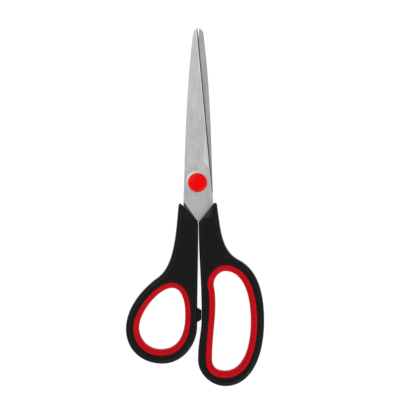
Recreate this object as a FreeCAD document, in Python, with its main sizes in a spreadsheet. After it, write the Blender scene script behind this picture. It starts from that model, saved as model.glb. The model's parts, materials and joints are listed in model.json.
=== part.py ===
import FreeCAD, Part

# Office scissors: two stamped steel blades on one pivot, each with a moulded handle and a soft finger grip.
#
# Lengths are millimetres. The scissors lie on their side, as on a desk: +Z is up out of the desk, +Y points
# to the blade tips and +X to the large bow. Every outline is drawn about the pivot axis, on the shear plane
# where the blades slide on each other, and each sub-part is placed from there.
#
# The front body is the blade seen from above, the large bow and the pivot hardware. The rear body is the
# blade underneath and the small bow, and it turns about the pivot.

import math
import os

import Sketcher
from FreeCAD import Vector

# Driving dimensions: alias, value, what it is.
DIMENSIONS = [
    # blades; "across" is measured from the line between the closed blades, towards the spine
    ("tip_reach", 90.7, "pivot axis to the blade tips"),
    ("blade_thick", 1.6, "thickness of the blade steel"),
    ("blade_shift", 0.4, "line between the closed blades, right of the pivot axis"),
    ("shear_gap", 0.1, "free gap between the two blades"),
    ("spine_root", 8.7, "across: spine beside the pivot"),
    ("spine_end", 3.05, "across: spine where the tip begins to round"),
    ("tip_round", 3.3, "length of the rounded tip"),
    ("tip_point", 0.5, "across: the point itself"),
    ("heel_across", 8.45, "across, on the far side: end of the cutting edge"),
    ("heel_drop", 5.3, "pivot axis down to the end of the cutting edge"),
    ("heel_flare", 0.15, "how much further out the steel is where the handle starts"),
    ("edge_bevel", 0.6, "width of the ground cutting bevel"),
    ("edge_land", 0.4, "steel left under the bevel"),
    ("spine_round", 0.3, "rounding of the spine's edge"),
    # tangs
    ("tang_shoulder", 11.0, "pivot axis down to where the tang's slanted side starts"),
    ("tang_slant_run", 10.9, "width that the slanted side crosses"),
    ("tang_slant_drop", 15.1, "height of the slanted side"),
    ("tang_width", 6.4, "width of the tang inside the handle"),
    ("tang_end", 46.0, "pivot axis down to the end of the tang"),
    ("tang_lean", 1.8, "how far the tang leans out over its moulded-in length"),
    ("anchor_bore", 1.7, "radius of the anchor holes in the tang"),
    ("anchor_first", 33.0, "pivot axis down to the first anchor hole"),
    ("anchor_pitch", 8.0, "spacing of the anchor holes"),
    # handles
    ("handle_thick", 9.6, "thickness of both handles"),
    ("handle_bevel", 1.7, "width of the sloping band round the handles"),
    ("handle_bevel_drop", 1.2, "depth of that band"),
    ("handle_split", 0.5, "middle of the gap between the handles, right of the pivot axis"),
    ("handle_gap", 0.7, "gap between the closed handles below the blades"),
    ("web_thick", 3.0, "thickness of the web that the grip wraps"),
    ("web_cover", 1.8, "how far the web stands into the grip"),
    ("nub_height", 7.0, "thickness of the stop nub"),
    ("nub_play", 0.1, "gap left between the nub and the large handle when closed"),
    ("nub_start", 72.4, "pivot axis down to the stop nub"),
    ("nub_length", 10.4, "length of the stop nub at its root"),
    ("nub_taper", 2.5, "how much each end of the nub slopes in"),
    ("nub_root", 1.6, "pivot axis to the nub's root inside the small handle"),
    # grips
    ("grip_sink", 0.3, "how far the grip lies below the handle's face"),
    ("grip_slope", 1.6, "width of the slope into the finger hole"),
    ("grip_slope_drop", 2.2, "depth of that slope"),
    # small bow, left of the pivot
    ("small_eye_inset", 7.25, "pivot axis to the near side of the finger hole"),
    ("small_eye_width", 27.1, "width of the finger hole"),
    ("small_eye_start", 61.75, "pivot axis down to the top of the finger hole"),
    ("small_eye_length", 36.2, "length of the finger hole"),
    ("small_ring_band", 3.25, "width of the grip seen from above"),
    ("small_side_rim", 4.5, "handle beyond the grip, far side"),
    ("small_end_rim", 4.95, "handle beyond the grip, lower end"),
    ("small_near_side", 0.33, "pivot axis to the handle's near side, beside the finger hole"),
    ("small_shoulder_rise", 6.15, "top of the finger hole up to where the outer side bends"),
    ("small_corner_across", 10.7, "pivot axis to the handle's top corner"),
    ("small_corner_drop", 12.5, "pivot axis down to that corner"),
    ("small_v_drop", 24.9, "pivot axis down to where the handle meets the middle"),
    # large bow, right of the pivot
    ("large_eye_inset", 8.5, "pivot axis to the near side of the finger hole"),
    ("large_eye_width", 22.8, "width of the finger hole"),
    ("large_eye_start", 51.85, "pivot axis down to the top of the finger hole"),
    ("large_eye_length", 58.75, "length of the finger hole"),
    ("large_ring_band", 3.6, "width of the grip seen from above"),
    ("large_side_rim", 4.25, "handle beyond the grip, far side"),
    ("large_end_rim", 5.1, "handle beyond the grip, lower end"),
    ("large_eye_jut", 1.1, "how far the near side's upper end lies outside its lower end"),
    ("large_near_side", 0.15, "pivot axis to the handle's near side, beside the finger hole"),
    ("large_shoulder_rise", 6.65, "top of the finger hole up to where the outer side bends"),
    ("large_corner_across", 11.3, "pivot axis to the handle's top corner"),
    ("large_corner_drop", 11.4, "pivot axis down to that corner"),
    ("large_lip_across", 9.4, "pivot axis to the bend in the handle's slanted top"),
    ("large_lip_drop", 12.0, "pivot axis down to that bend"),
    ("large_v_drop", 22.9, "pivot axis down to where the handle meets the middle"),
    ("waist", 1.5, "how far the large handle draws back beside the stop nub"),
    # pivot hardware
    ("journal", 2.8, "radius of the bolt in the rear blade"),
    ("journal_play", 0.05, "radial clearance of the rear blade on the bolt"),
    ("neck", 3.9, "side of the bolt's square neck in the front blade"),
    ("stud", 1.9, "radius of the bolt's threaded end"),
    ("stud_over", 0.2, "how far the threaded end stands out of the nut"),
    ("head", 5.2, "radius of the bolt's head"),
    ("head_lift", 0.5, "desk up to the bolt's head, which never stands proud of the handles"),
    ("slot_width", 1.2, "width of the driver slot in the head"),
    ("slot_depth", 0.9, "depth of that slot"),
    ("washer_thick", 0.4, "thickness of both washers"),
    ("front_washer_rim", 6.9, "radius of the steel washer under the cap"),
    ("rear_washer_rim", 6.2, "radius of the nylon washer under the bolt's head"),
    ("end_play", 0.05, "free gap between the rear blade and its washer"),
    ("nut_flats", 7.0, "width of the nut across its flats"),
    ("nut_height", 1.4, "height of the nut"),
    ("cap", 5.6, "radius of the pivot cap"),
    ("cap_height", 2.4, "height of the pivot cap at its middle"),
    ("cap_wall", 1.5, "height of the cap's straight side"),
    ("cap_bevel", 0.9, "width of the cap's bevelled rim"),
    ("cap_crown", 0.35, "how far the cap's top domes up"),
    ("cap_clearance", 0.1, "space over the bolt's end inside the cap"),
]

# Shape of the curves. A pull is the share of a curve's span that its end tangent reaches over, and a lean is
# the slope of a tangent. A place along a bow is a share of its finger hole's width or length.
BLADE = dict(root_lean=-0.03, root_pull=0.333, end_lean=-0.135, end_pull=0.3,
             round_pull=0.55, point_lean=-0.17, point_pull=0.45)
SMALL_EYE = dict(top=0.286, end=0.528, near=0.431, far=0.649,
                 near_top=0.64, near_end=0.658, far_end=0.569, far_top=0.393)
LARGE_EYE = dict(top=0.333, end=0.343, far=0.505, low=0.876, high=0.155, high_lean=-0.196,
                 far_pull=0.62, near_end=0.69, low_pull=0.37, high_pull=0.3, high_top=0.546, top_pull=0.47)
SMALL_BOW = dict(side_lean=0.094, side_pull=0.406, shoulder=0.595, shoulder_lean=0.716,
                 into_shoulder=0.813, out_shoulder=0.434, far=0.663, far_pull=0.436,
                 end=0.49, far_end=0.585, near_end=0.552, near=0.61, middle_pull=0.333)
LARGE_BOW = dict(side_lean=-0.147, side_pull=0.465, shoulder=0.69, shoulder_lean=-0.523,
                 into_shoulder=0.81, out_shoulder=0.742, far=0.491, far_pull=0.465,
                 end=0.338, far_end=0.615, near_end=0.52, low=0.89, waist=0.445, middle_pull=0.4)
BOLT_HEAD = dict(edge=0.35, turn=0.2, crown=0.75)
CAP_DOME = dict(flat=0.5, turn=0.8, fall=0.3)
ANCHOR_HOLES = 2
CUT_OVERRUN = 1.0
HALF = 0.5
TAN_30 = math.tan(math.radians(30))
TOLERANCE = 1e-6


class Size:
    """A length and the sheet formula that gives it, so that whatever is drawn with it is bound to it too."""

    def __init__(self, value, text):
        self.value = value
        self.text = text

    def __add__(self, other):
        return Size(self.value + sized(other).value, f"({self.text} + {sized(other).text})")

    def __sub__(self, other):
        return Size(self.value - sized(other).value, f"({self.text} - {sized(other).text})")

    def __mul__(self, factor):
        return Size(self.value * factor, f"({self.text} * {factor!r})")

    def __neg__(self):
        return self * -1


def sized(number):
    """A plain number as a Size."""
    return number if isinstance(number, Size) else Size(number, repr(number))


class Knot:
    """A point of an outline with the tangent there: steep ones run along Y, the others along X."""

    def __init__(self, x, y, steep, lean=0.0):
        self.x = x
        self.y = y
        self.steep = steep
        self.lean = lean

    def pulled_to(self, other, pull):
        """The point on this knot's tangent, a share of the way to another knot."""
        if self.steep:
            rise = (other.y - self.y) * pull
            return self.x + rise * self.lean, self.y + rise
        run = (other.x - self.x) * pull
        return self.x + run, self.y + run * self.lean


doc = FreeCAD.newDocument("OfficeScissors")
sheet = doc.addObject("Spreadsheet::Sheet", "Dims")
for row, (alias, value, meaning) in enumerate(DIMENSIONS, start=1):
    sheet.set(f"A{row}", meaning)
    sheet.set(f"B{row}", str(value))
    sheet.setAlias(f"B{row}", alias)
doc.recompute()
dim = {alias: Size(value, f"Dims.{alias}") for alias, value, meaning in DIMENSIONS}

# Places that several sub-parts share, from the pivot axis and the shear plane.
shear_z = dim["handle_thick"] * HALF
half_gap = dim["shear_gap"] * HALF
blade_top = half_gap + dim["blade_thick"]
washer_top = blade_top + dim["washer_thick"]
rear_washer_top = -(blade_top + dim["end_play"])
head_seat = rear_washer_top - dim["washer_thick"]
head_base = dim["head_lift"] - shear_z
head_height = head_seat - head_base
inner_left = dim["handle_split"] - dim["handle_gap"] * HALF
inner_right = dim["handle_split"] + dim["handle_gap"] * HALF
small_side = dim["small_ring_band"] + dim["small_side_rim"]
small_heel = dim["small_ring_band"] + dim["small_end_rim"]
small_far = -(dim["small_eye_inset"] + dim["small_eye_width"] + small_side)
small_end = -(dim["small_eye_start"] + dim["small_eye_length"] + small_heel)
large_side = dim["large_ring_band"] + dim["large_side_rim"]
large_heel = dim["large_ring_band"] + dim["large_end_rim"]
large_far = dim["large_eye_inset"] + dim["large_eye_width"] + large_side
large_end = -(dim["large_eye_start"] + dim["large_eye_length"] + large_heel)
pivot_x = (small_far + large_far) * -HALF
pivot_y = (dim["tip_reach"] + large_end) * -HALF


def new_body(label, height=None):
    """A body whose own axes stand on the pivot axis, at a height above the shear plane."""
    body = doc.addObject("PartDesign::Body", label)
    body.Label = label
    body.setExpression(".Placement.Base.x", pivot_x.text)
    body.setExpression(".Placement.Base.y", pivot_y.text)
    body.setExpression(".Placement.Base.z", (shear_z + height if height else shear_z).text)
    return body


class Outline:
    """Closed wires in one sketch of a body. A coordinate of None lies on the sketch's own axis."""

    def __init__(self, body, name, plane="XY_Plane", height=None):
        self.sketch = body.newObject("Sketcher::SketchObject", name)
        base = next(feature for feature in body.Origin.OriginFeatures if feature.Role == plane)
        self.sketch.AttachmentSupport = [(base, "")]
        self.sketch.MapMode = "FlatFace"
        if height:
            self.sketch.setExpression(".AttachmentOffset.Base.z", height.text)

    def hold(self, geometry, vertex, x, y):
        """Binds one vertex to the sheet."""
        for kind, axis, size in (("DistanceX", -2, x), ("DistanceY", -1, y)):
            if size is None:
                self.sketch.addConstraint(Sketcher.Constraint("PointOnObject", geometry, vertex, axis))
                continue
            index = self.sketch.addConstraint(Sketcher.Constraint(kind, -1, 1, geometry, vertex, size.value))
            name = f"{kind}_{index}"
            self.sketch.renameConstraint(index, name)
            self.sketch.setExpression(f"Constraints.{name}", size.text)

    def circle(self, radius, x=None, y=None):
        """A circle about a point, or about the sketch's origin."""
        centre = Vector(x.value if x else 0, y.value if y else 0, 0)
        index = self.sketch.addGeometry(Part.Circle(centre, Vector(0, 0, 1), radius.value), False)
        self.hold(index, 3, x, y)
        ring = self.sketch.addConstraint(Sketcher.Constraint("Radius", index, radius.value))
        self.sketch.renameConstraint(ring, f"Radius_{ring}")
        self.sketch.setExpression(f"Constraints.Radius_{ring}", radius.text)
        return self

    def wire(self, start, pieces):
        """A closed wire: each piece is (end,) for a line or (pull, pull, end) for a cubic curve."""
        made = []
        here = start
        for piece in pieces:
            points = [here, *piece]
            places = [Vector(x.value if x else 0, y.value if y else 0, 0) for x, y in points]
            before = self.sketch.GeometryCount
            if len(points) == 2:
                index = self.sketch.addGeometry(Part.LineSegment(*places), False)
                self.hold(index, 1, *here)
            else:
                curve = Part.BSplineCurve()
                curve.buildFromPolesMultsKnots(places, [4, 4], [0, 1], False, 3)
                index = self.sketch.addGeometry(curve, False)
                self.sketch.exposeInternalGeometry(index)
                for step, point in enumerate(points[:-1], start=1):
                    self.hold(before + step, 3, *point)
            made.append(index)
            here = piece[-1]
        for index, following in zip(made, made[1:] + made[:1]):
            self.sketch.addConstraint(Sketcher.Constraint("Coincident", index, 2, following, 1))
        return self

    def through(self, knots, pulls):
        """A closed smooth wire through knots; pulls holds the two tangent shares of each curve."""
        following = knots[1:] + knots[:1]
        pieces = [curve(here, leave, there, arrive)
                  for here, there, (leave, arrive) in zip(knots, following, pulls)]
        return self.wire((knots[0].x, knots[0].y), pieces)


def curve(here, leave, there, arrive):
    """One piece of a wire, from a knot to a knot."""
    return here.pulled_to(there, leave), there.pulled_to(here, arrive), (there.x, there.y)


def rectangle(width, length):
    """Start and pieces of a rectangular wire about the pivot axis."""
    x = width * HALF
    y = length * HALF
    return (-x, -y), [((x, -y),), ((x, y),), ((-x, y),), ((-x, -y),)]


def square(side):
    """Start and pieces of a square wire about the pivot axis."""
    return rectangle(side, side)


def hexagon(flats):
    """Start and pieces of a hexagon with corners on the Y axis."""
    side = flats * HALF
    point = flats * TAN_30
    shoulder = point * HALF
    corners = [(None, point), (side, shoulder), (side, -shoulder), (None, -point),
               (-side, -shoulder), (-side, shoulder)]
    return corners[0], [(corner,) for corner in corners[1:] + corners[:1]]


def feature(body, kind, name, outline, length=None, **settings):
    """A sketch-based feature with its length bound to the sheet."""
    made = body.newObject(f"PartDesign::{kind}", name)
    made.Profile = outline.sketch
    if length:
        made.setExpression("Length", length.text)
    for setting, value in settings.items():
        setattr(made, setting, value)
    outline.sketch.Visibility = False
    doc.recompute()
    return made


def chamfer(body, name, base, edges, width, depth):
    """A chamfer with its own width on the flat face and depth down the wall."""
    if not edges:
        raise ValueError(f"{name} has no edge")
    made = body.newObject("PartDesign::Chamfer", name)
    made.Base = (base, edges)
    made.ChamferType = "Two distances"
    made.FlipDirection = True
    made.setExpression("Size", width.text)
    made.setExpression("Size2", depth.text)
    doc.recompute()
    return made


def fillet(body, name, base, edges, radius):
    """A fillet bound to the sheet."""
    if not edges:
        raise ValueError(f"{name} has no edge")
    made = body.newObject("PartDesign::Fillet", name)
    made.Base = (base, edges)
    made.setExpression("Radius", radius.text)
    doc.recompute()
    return made


def edges_where(shape, wanted):
    """Names of the edges that a test accepts."""
    return [f"Edge{number}" for number, edge in enumerate(shape.Edges, start=1) if wanted(edge)]


def level(shape, height):
    """Whether an edge or a face lies flat at a height."""
    box = shape.BoundBox
    return abs(box.ZMin - height) < TOLERANCE and abs(box.ZMax - height) < TOLERANCE


def must_cut(before, after):
    """Stops the build when a cut has left its solid as it was."""
    if not after.Shape.Volume < before.Shape.Volume:
        raise ValueError(f"{after.Label} cut nothing")


def eye_knots(bow, offset):
    """Knots of a finger hole, each moved out by an offset, and the pulls between them."""
    small = bow == "small"
    side = -1 if small else 1
    shape = SMALL_EYE if small else LARGE_EYE
    near = dim[f"{bow}_eye_inset"] * side
    start = -dim[f"{bow}_eye_start"]
    width = dim[f"{bow}_eye_width"] * side
    length = -dim[f"{bow}_eye_length"]
    out = offset * side
    top = Knot(near + width * shape["top"], start + offset, steep=False)
    end = Knot(near + width * shape["end"], start + length - offset, steep=False)
    far = Knot(near + width + out, start + length * shape["far"], steep=True)
    if small:
        side_knot = Knot(near - out, start + length * shape["near"], steep=True)
        pulls = [(shape[corner], shape[corner]) for corner in ("far_top", "far_end", "near_end", "near_top")]
        return [top, far, end, side_knot], pulls
    low = Knot(near - out, start + length * shape["low"], steep=True)
    high = Knot(near - out + dim["large_eye_jut"], start + length * shape["high"], True, shape["high_lean"])
    pulls = [(shape[corner], shape[corner]) for corner in ("far_pull", "far_pull", "near_end")]
    pulls += [(shape["low_pull"], shape["high_pull"]), (shape["high_top"], shape["top_pull"])]
    return [top, far, end, low, high], pulls


def blade(label, side, height, outer):
    """A blade with its tang; side is -1 for a spine on the left, and outer is the level of its outer face."""

    def at(across, y):
        return dim["blade_shift"] + across * side, y

    def spine(across, y, lean):
        return Knot(*at(across, y), True, lean * side)

    tang_inner = dim["spine_root"] - dim["tang_slant_run"]
    tang_tip = tang_inner - dim["tang_lean"]
    root = spine(dim["spine_root"], -dim["tang_shoulder"], BLADE["root_lean"])
    rounding = spine(dim["spine_end"], dim["tip_reach"] - dim["tip_round"], BLADE["end_lean"])
    point = Knot(*at(dim["tip_point"], dim["tip_reach"]), False, BLADE["point_lean"] * side)
    heel = at(-dim["heel_across"], -dim["heel_drop"])

    body = new_body(label, height)
    plan = Outline(body, f"{label}_outline").wire((root.x, root.y), [
        curve(root, BLADE["root_pull"], rounding, BLADE["end_pull"]),
        curve(rounding, BLADE["round_pull"], point, BLADE["point_pull"]),
        (heel,),
        (at(-dim["heel_across"] - dim["heel_flare"], -dim["tang_shoulder"]),),
        (at(tang_tip - dim["tang_width"], -dim["tang_end"]),),
        (at(tang_tip, -dim["tang_end"]),),
        (at(tang_inner, -dim["tang_shoulder"] - dim["tang_slant_drop"]),),
        ((root.x, root.y),)])
    tang_middle = tang_inner - (dim["tang_lean"] + dim["tang_width"]) * HALF
    for step in range(ANCHOR_HOLES):
        drop = dim["anchor_first"] + dim["anchor_pitch"] * step
        plan.circle(dim["anchor_bore"], *at(tang_middle, -drop))
    if side < 0:
        plan.wire(*square(dim["neck"]))
    else:
        plan.circle(dim["journal"] + dim["journal_play"])
    steel = feature(body, "Pad", f"{label}_steel", plan, dim["blade_thick"])
    cutting_edge = sorted([(heel[0].value, heel[1].value), (point.x.value, point.y.value)])

    def on_cutting_edge(edge):
        ends = sorted((vertex.X, vertex.Y) for vertex in edge.Vertexes)
        return level(edge, outer.value) and all(
            math.dist(end, wanted) < TOLERANCE for end, wanted in zip(ends, cutting_edge))

    def on_spine(edge):
        return level(edge, outer.value) and edge.Curve.TypeId == "Part::GeomBSplineCurve"

    ground = chamfer(body, f"{label}_bevel", steel, edges_where(steel.Shape, on_cutting_edge),
                     dim["edge_bevel"], dim["blade_thick"] - dim["edge_land"])
    fillet(body, f"{label}_spine", ground, edges_where(ground.Shape, on_spine), dim["spine_round"])
    return body


def small_handle_wire():
    """Outline of the small bow's handle, from its top corner down the outer side and back up the middle."""
    shape = SMALL_BOW
    inset = dim["small_eye_inset"]
    width = dim["small_eye_width"]
    start = dim["small_eye_start"]
    length = dim["small_eye_length"]
    corner = Knot(-dim["small_corner_across"], -dim["small_corner_drop"], True, shape["side_lean"])
    shoulder = Knot(-(inset + width * shape["shoulder"]), dim["small_shoulder_rise"] - start, False,
                    shape["shoulder_lean"])
    far = Knot(small_far, -(start + length * shape["far"]), True)
    end = Knot(-(inset + width * shape["end"]), small_end, False)
    near = Knot(-dim["small_near_side"], -(start + length * shape["near"]), True)
    notch = Knot(inner_left, -dim["small_v_drop"], True)
    return (corner.x, corner.y), [
        curve(corner, shape["side_pull"], shoulder, shape["into_shoulder"]),
        curve(shoulder, shape["out_shoulder"], far, shape["far_pull"]),
        curve(far, shape["far_end"], end, shape["far_end"]),
        curve(end, shape["near_end"], near, shape["near_end"]),
        curve(near, shape["middle_pull"], notch, shape["middle_pull"]),
        ((corner.x, corner.y),)]


def large_waist():
    """The knot where the large handle draws back beside the stop nub."""
    drop = dim["large_eye_start"] + dim["large_eye_length"] * LARGE_BOW["waist"]
    return Knot(inner_right + dim["waist"], -drop, True)


def large_handle_wire():
    """Outline of the large bow's handle, from its top corner down the outer side and back up the middle."""
    shape = LARGE_BOW
    inset = dim["large_eye_inset"]
    width = dim["large_eye_width"]
    start = dim["large_eye_start"]
    length = dim["large_eye_length"]
    corner = Knot(dim["large_corner_across"], -dim["large_corner_drop"], True, shape["side_lean"])
    shoulder = Knot(inset + width * shape["shoulder"], dim["large_shoulder_rise"] - start, False,
                    shape["shoulder_lean"])
    far = Knot(large_far, -(start + length * shape["far"]), True)
    end = Knot(inset + width * shape["end"], large_end, False)
    low = Knot(dim["large_near_side"], -(start + length * shape["low"]), True)
    waist = large_waist()
    notch = Knot(inner_right, -dim["large_v_drop"], True)
    return (corner.x, corner.y), [
        curve(corner, shape["side_pull"], shoulder, shape["into_shoulder"]),
        curve(shoulder, shape["out_shoulder"], far, shape["far_pull"]),
        curve(far, shape["far_end"], end, shape["far_end"]),
        curve(end, shape["near_end"], low, shape["near_end"]),
        curve(low, shape["middle_pull"], waist, shape["middle_pull"]),
        curve(waist, shape["middle_pull"], notch, shape["middle_pull"]),
        ((dim["large_lip_across"], -dim["large_lip_drop"]),),
        ((corner.x, corner.y),)]


def moulding(bow, wire):
    """The plastic of one handle before the tang is cut from it."""
    body = new_body(f"{bow}_bow_moulding")
    plan = Outline(body, f"{bow}_bow_plan").wire(*wire)
    block = feature(body, "Pad", f"{bow}_bow_block", plan, dim["handle_thick"], Midplane=True)
    half = dim["handle_thick"].value / 2

    def on_rim(edge):
        return (level(edge, half) or level(edge, -half)) and edge.Curve.TypeId == "Part::GeomBSplineCurve"

    shaped = chamfer(body, f"{bow}_bow_bevel", block, edges_where(block.Shape, on_rim),
                     dim["handle_bevel"], dim["handle_bevel_drop"])
    band = dim[f"{bow}_ring_band"]
    for end, height in (("top", dim["web_thick"] * HALF), ("bottom", dim["web_thick"] * -HALF)):
        seat = Outline(body, f"{bow}_bow_{end}_seat", height=height).through(*eye_knots(bow, band))
        recess = feature(body, "Pocket", f"{bow}_bow_{end}_recess", seat, dim["handle_thick"],
                         Reversed=end == "top")
        must_cut(shaped, recess)
        shaped = recess
    web = Outline(body, f"{bow}_bow_web").through(*eye_knots(bow, band - dim["web_cover"]))
    must_cut(shaped, feature(body, "Pocket", f"{bow}_bow_opening", web, dim["handle_thick"], Midplane=True))
    return body


def stop_nub(body):
    """The nub on the small handle that meets the large handle when the scissors close."""
    face = large_waist().x - dim["nub_play"]
    root = -dim["nub_root"]
    top = -dim["nub_start"]
    bottom = top - dim["nub_length"]
    plan = Outline(body, "stop_nub_plan").wire((root, top), [
        ((face, top - dim["nub_taper"]),),
        ((face, bottom + dim["nub_taper"]),),
        ((root, bottom),),
        ((root, top),)])
    feature(body, "Pad", "stop_nub", plan, dim["nub_height"], Midplane=True)


def handle(label, body, tang):
    """A moulding with its blade's tang cut from it, which leaves plastic pegs in the anchor holes."""
    made = doc.addObject("Part::Cut", label)
    made.Label = label
    made.Base = body
    made.Tool = tang
    doc.recompute()
    return made


def grip(bow):
    """The soft ring that lines a finger hole, wrapped round the handle's web."""
    label = f"{bow}_bow_grip"
    body = new_body(label)
    band = dim[f"{bow}_ring_band"]
    thick = dim["handle_thick"] - dim["grip_sink"] * 2
    ring = Outline(body, f"{label}_plan")
    ring.through(*eye_knots(bow, band))
    ring.through(*eye_knots(bow, sized(0.0)))
    full = feature(body, "Pad", f"{label}_ring", ring, thick, Midplane=True)
    half = thick.value / 2
    faces = [face for face in full.Shape.Faces if level(face, half) or level(face, -half)]
    eyes = [min(face.Wires, key=lambda wire: wire.Length) for face in faces]

    def on_eye(edge):
        return any(edge.isSame(other) for eye in eyes for other in eye.Edges)

    sloped = chamfer(body, f"{label}_slope", full, edges_where(full.Shape, on_eye),
                     dim["grip_slope"], dim["grip_slope_drop"])
    groove = Outline(body, f"{label}_web_plan")
    groove.through(*eye_knots(bow, band + CUT_OVERRUN))
    groove.through(*eye_knots(bow, band - dim["web_cover"]))
    must_cut(sloped, feature(body, "Pocket", f"{label}_groove", groove, dim["web_thick"], Midplane=True))
    return body


def washer(label, rim, bore, height):
    """A flat washer on the pivot axis."""
    body = new_body(label, height)
    plan = Outline(body, f"{label}_plan").circle(rim).circle(bore)
    feature(body, "Pad", f"{label}_disc", plan, dim["washer_thick"])
    return body


def pivot_bolt():
    """The bolt: a domed and slotted head, a round journal, a square neck and a threaded end."""
    body = new_body("pivot_bolt")
    head = dim["head"]
    turned = Outline(body, "bolt_profile", plane="XZ_Plane").wire((None, half_gap), [
        ((dim["journal"], half_gap),),
        ((dim["journal"], head_seat),),
        ((head, head_seat),),
        ((head, head_seat - head_height * BOLT_HEAD["edge"]),),
        ((head, head_base + head_height * BOLT_HEAD["turn"]),
         (head * BOLT_HEAD["crown"], head_base),
         (None, head_base)),
        ((None, half_gap),)])
    feature(body, "Revolution", "bolt_turned", turned, ReferenceAxis=(turned.sketch, ["V_Axis"]), Angle=360)
    neck = Outline(body, "bolt_neck_plan", height=half_gap).wire(*square(dim["neck"]))
    feature(body, "Pad", "bolt_neck", neck, dim["blade_thick"])
    stud = Outline(body, "bolt_stud_plan", height=blade_top).circle(dim["stud"])
    stud_length = dim["washer_thick"] + dim["nut_height"] + dim["stud_over"]
    whole = feature(body, "Pad", "bolt_stud", stud, stud_length)
    slot = Outline(body, "bolt_slot_plan", height=head_base + dim["slot_depth"])
    slot.wire(*rectangle(dim["slot_width"], head * 2 + CUT_OVERRUN))
    must_cut(whole, feature(body, "Pocket", "bolt_slot", slot, head_height))
    return body


def pivot_nut():
    """The hexagon nut that holds the bolt, under the cap."""
    body = new_body("pivot_nut", washer_top)
    plan = Outline(body, "nut_plan").wire(*hexagon(dim["nut_flats"])).circle(dim["stud"])
    feature(body, "Pad", "nut_block", plan, dim["nut_height"])
    return body


def pivot_cap():
    """The cap that is pressed over the nut, with a bevelled rim and a low dome."""
    body = new_body("pivot_cap", washer_top)
    top = dim["cap_height"]
    edge = top - dim["cap_crown"]
    inner = dim["cap"] - dim["cap_bevel"]
    profile = Outline(body, "cap_profile", plane="XZ_Plane").wire((None, top), [
        ((inner * CAP_DOME["flat"], top),
         (inner * CAP_DOME["turn"], edge + dim["cap_crown"] * CAP_DOME["fall"]),
         (inner, edge)),
        ((dim["cap"], dim["cap_wall"]),),
        ((dim["cap"], None),),
        ((None, None),),
        ((None, top),)])
    turned = feature(body, "Revolution", "cap_turned", profile, ReferenceAxis=(profile.sketch, ["V_Axis"]),
                     Angle=360)
    socket = Outline(body, "cap_socket_plan").wire(*hexagon(dim["nut_flats"]))
    depth = dim["nut_height"] + dim["stud_over"] + dim["cap_clearance"]
    must_cut(turned, feature(body, "Pocket", "cap_socket", socket, depth, Reversed=True))
    return body


front_blade = blade("front_blade", -1, half_gap, outer=dim["blade_thick"])
rear_blade = blade("rear_blade", 1, -blade_top, outer=sized(0.0))
small_moulding = moulding("small", small_handle_wire())
stop_nub(small_moulding)
large_moulding = moulding("large", large_handle_wire())

parts = [
    front_blade,
    rear_blade,
    handle("large_bow_handle", large_moulding, front_blade),
    handle("small_bow_handle", small_moulding, rear_blade),
    grip("large"),
    grip("small"),
    pivot_bolt(),
    washer("front_washer", dim["front_washer_rim"], dim["stud"], blade_top),
    washer("rear_washer", dim["rear_washer_rim"], dim["journal"], head_seat),
    pivot_nut(),
    pivot_cap(),
]

doc.recompute()
for item in doc.Objects:
    if {"Invalid", "Error"} & set(item.State):
        raise ValueError(f"{item.Label}: {item.State}")
for item in parts:
    if item.Shape.isNull() or not item.Shape.isValid() or len(item.Shape.Solids) != 1:
        raise ValueError(f"{item.Label} is not one valid solid")

os.makedirs("parts", exist_ok=True)
for item in parts:
    item.Shape.exportStep(f"parts/{item.Label}.step")
    box = item.Shape.BoundBox
    print(f"{item.Label}: {item.Shape.Volume:.0f} mm3, x {box.XMin:.2f} to {box.XMax:.2f}, "
          f"y {box.YMin:.2f} to {box.YMax:.2f}, z {box.ZMin:.2f} to {box.ZMax:.2f}")
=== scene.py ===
"""Office scissors: two ground steel blades on one pivot, two moulded bows and their soft finger grips.

Every outline is drawn in millimetres about the pivot axis, with +Y to the blade tips, +X to the large bow and
zero height on the shear plane where the blades slide on each other. Bench.place then moves it to the frame.
"""

import json
import logging
import math
from dataclasses import dataclass, field
from enum import Enum
from typing import Any, Callable, Dict, List, Optional, Sequence, Tuple, Union

import bmesh
import bpy
import numpy as np
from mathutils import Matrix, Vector
from mathutils.geometry import delaunay_2d_cdt
from mathutils.kdtree import KDTree

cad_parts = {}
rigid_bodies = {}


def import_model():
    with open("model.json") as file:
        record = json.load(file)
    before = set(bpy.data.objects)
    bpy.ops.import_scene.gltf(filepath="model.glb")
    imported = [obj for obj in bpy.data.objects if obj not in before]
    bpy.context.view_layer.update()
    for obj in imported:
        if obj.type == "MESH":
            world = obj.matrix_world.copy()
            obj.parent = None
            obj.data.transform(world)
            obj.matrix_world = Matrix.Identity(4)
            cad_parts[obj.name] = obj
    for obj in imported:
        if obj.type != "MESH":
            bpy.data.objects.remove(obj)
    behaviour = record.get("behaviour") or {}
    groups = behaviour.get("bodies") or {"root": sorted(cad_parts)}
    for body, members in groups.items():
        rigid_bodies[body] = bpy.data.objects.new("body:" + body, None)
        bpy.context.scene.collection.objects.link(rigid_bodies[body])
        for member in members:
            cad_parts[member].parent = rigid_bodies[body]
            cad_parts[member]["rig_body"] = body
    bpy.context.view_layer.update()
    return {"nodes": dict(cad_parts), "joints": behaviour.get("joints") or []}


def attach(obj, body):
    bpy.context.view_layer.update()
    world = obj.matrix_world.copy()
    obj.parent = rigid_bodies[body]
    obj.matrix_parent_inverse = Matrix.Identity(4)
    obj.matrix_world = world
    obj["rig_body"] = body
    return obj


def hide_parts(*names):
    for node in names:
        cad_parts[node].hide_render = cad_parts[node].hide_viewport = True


LOG = logging.getLogger("office_scissors")
MM = 0.001
Pair = Tuple[float, float]
Colour = Tuple[float, float, float, float]


# ---------------------------------------------------------------------------------------------- shading


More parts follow.
